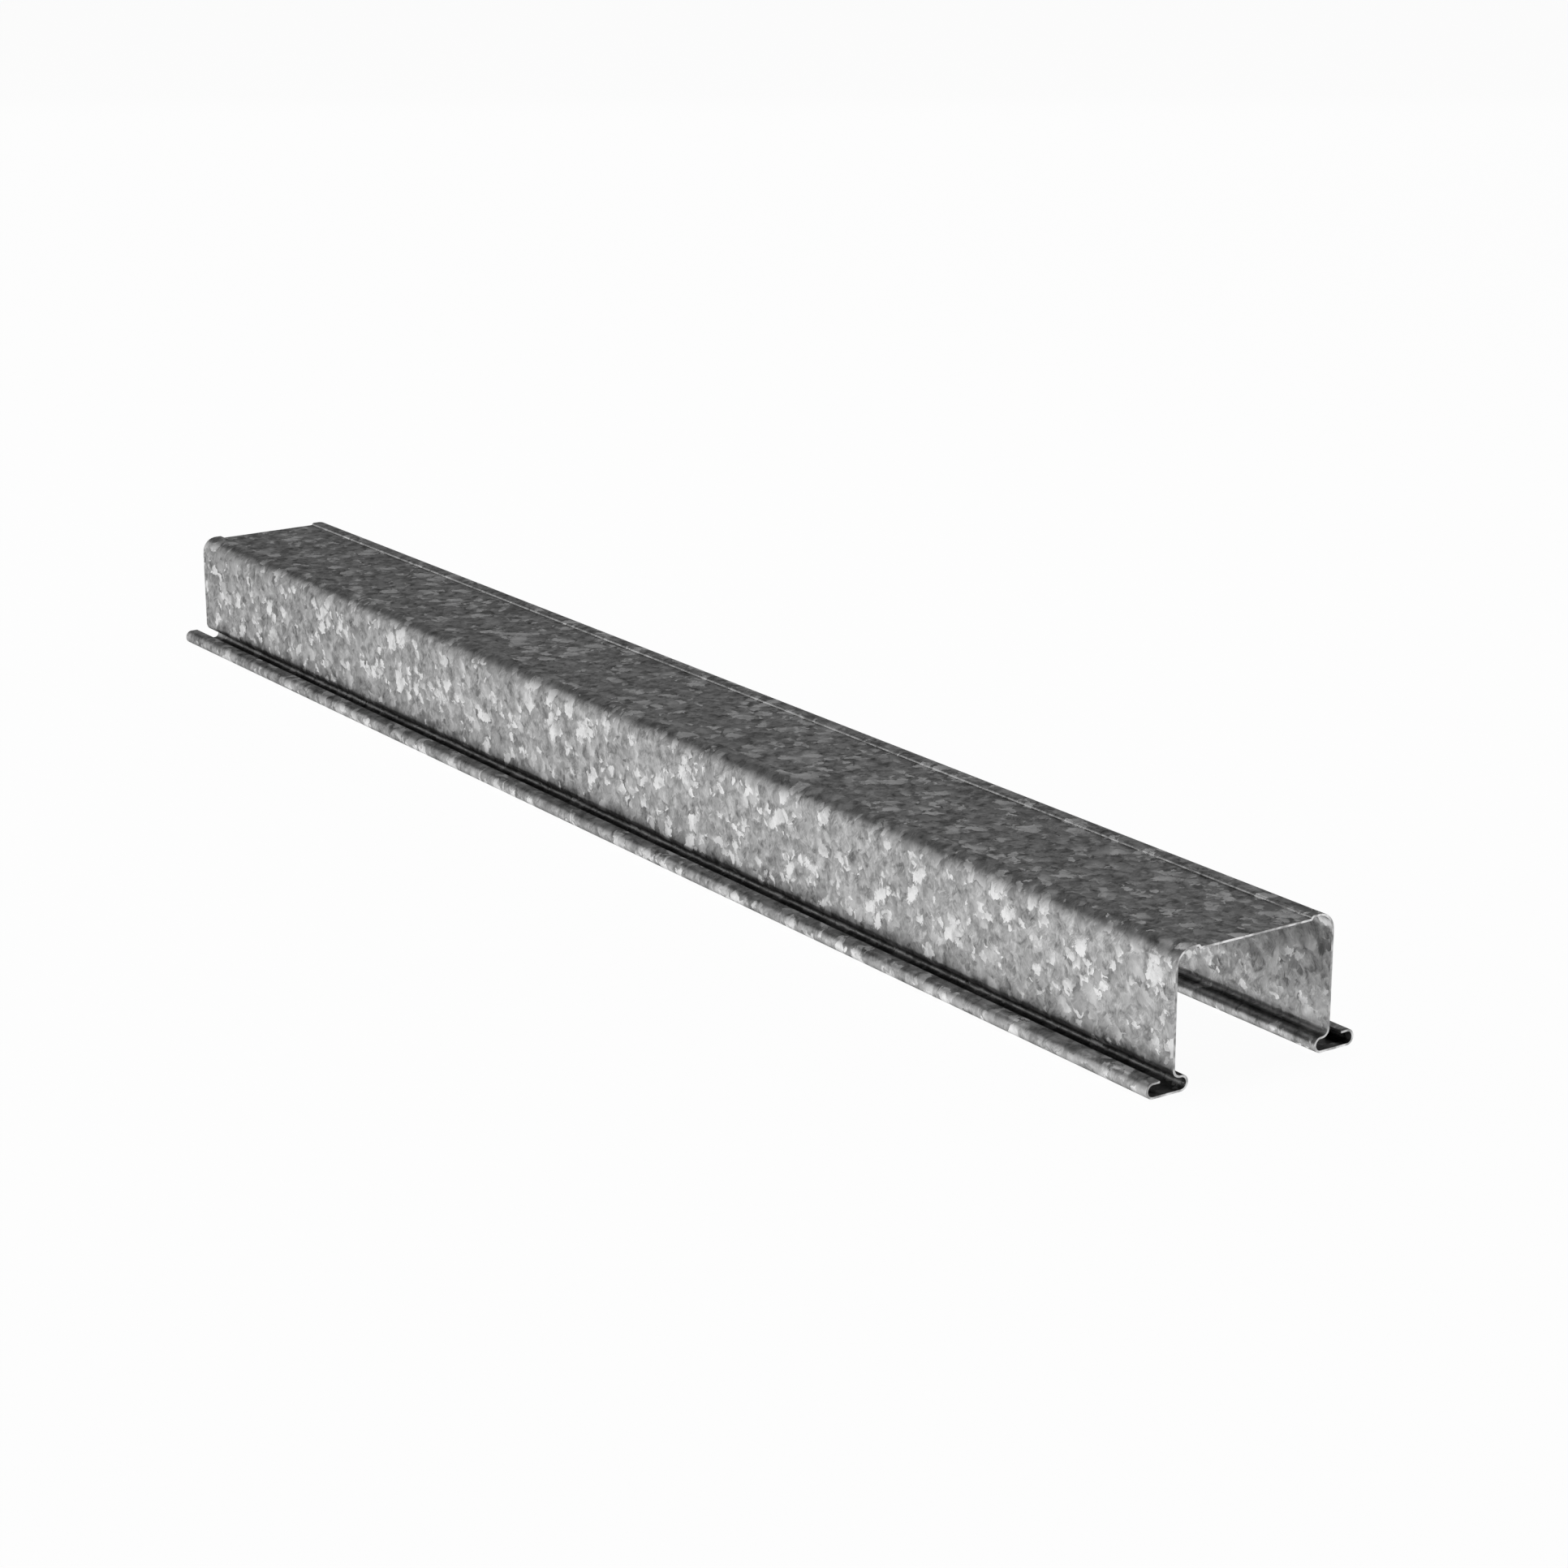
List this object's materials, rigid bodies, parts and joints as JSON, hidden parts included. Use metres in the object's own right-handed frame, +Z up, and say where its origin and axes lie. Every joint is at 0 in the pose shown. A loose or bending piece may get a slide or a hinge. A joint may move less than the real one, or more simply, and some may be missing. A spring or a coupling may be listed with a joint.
{
  "type": "ceiling channel",
  "caption": "Length of cold-roll-formed galvanised steel channel with a recessed web, upright legs and folded hook feet, for carrying ceiling or wall boards.",
  "frame": {"origin": "middle of the length and width, on the plane the two soles stand on", "axes": "+X along the channel, +Y across it, +Z up from the soles to the web"},
  "size_m": [0.4, 0.051, 0.028],
  "materials": {
    "galvanised_sheet": "hot-dip galvanised with visible zinc spangle"
  },
  "bodies": {
    "root": {"ceiling_channel": "galvanised_sheet"}
  },
  "joints": []
}
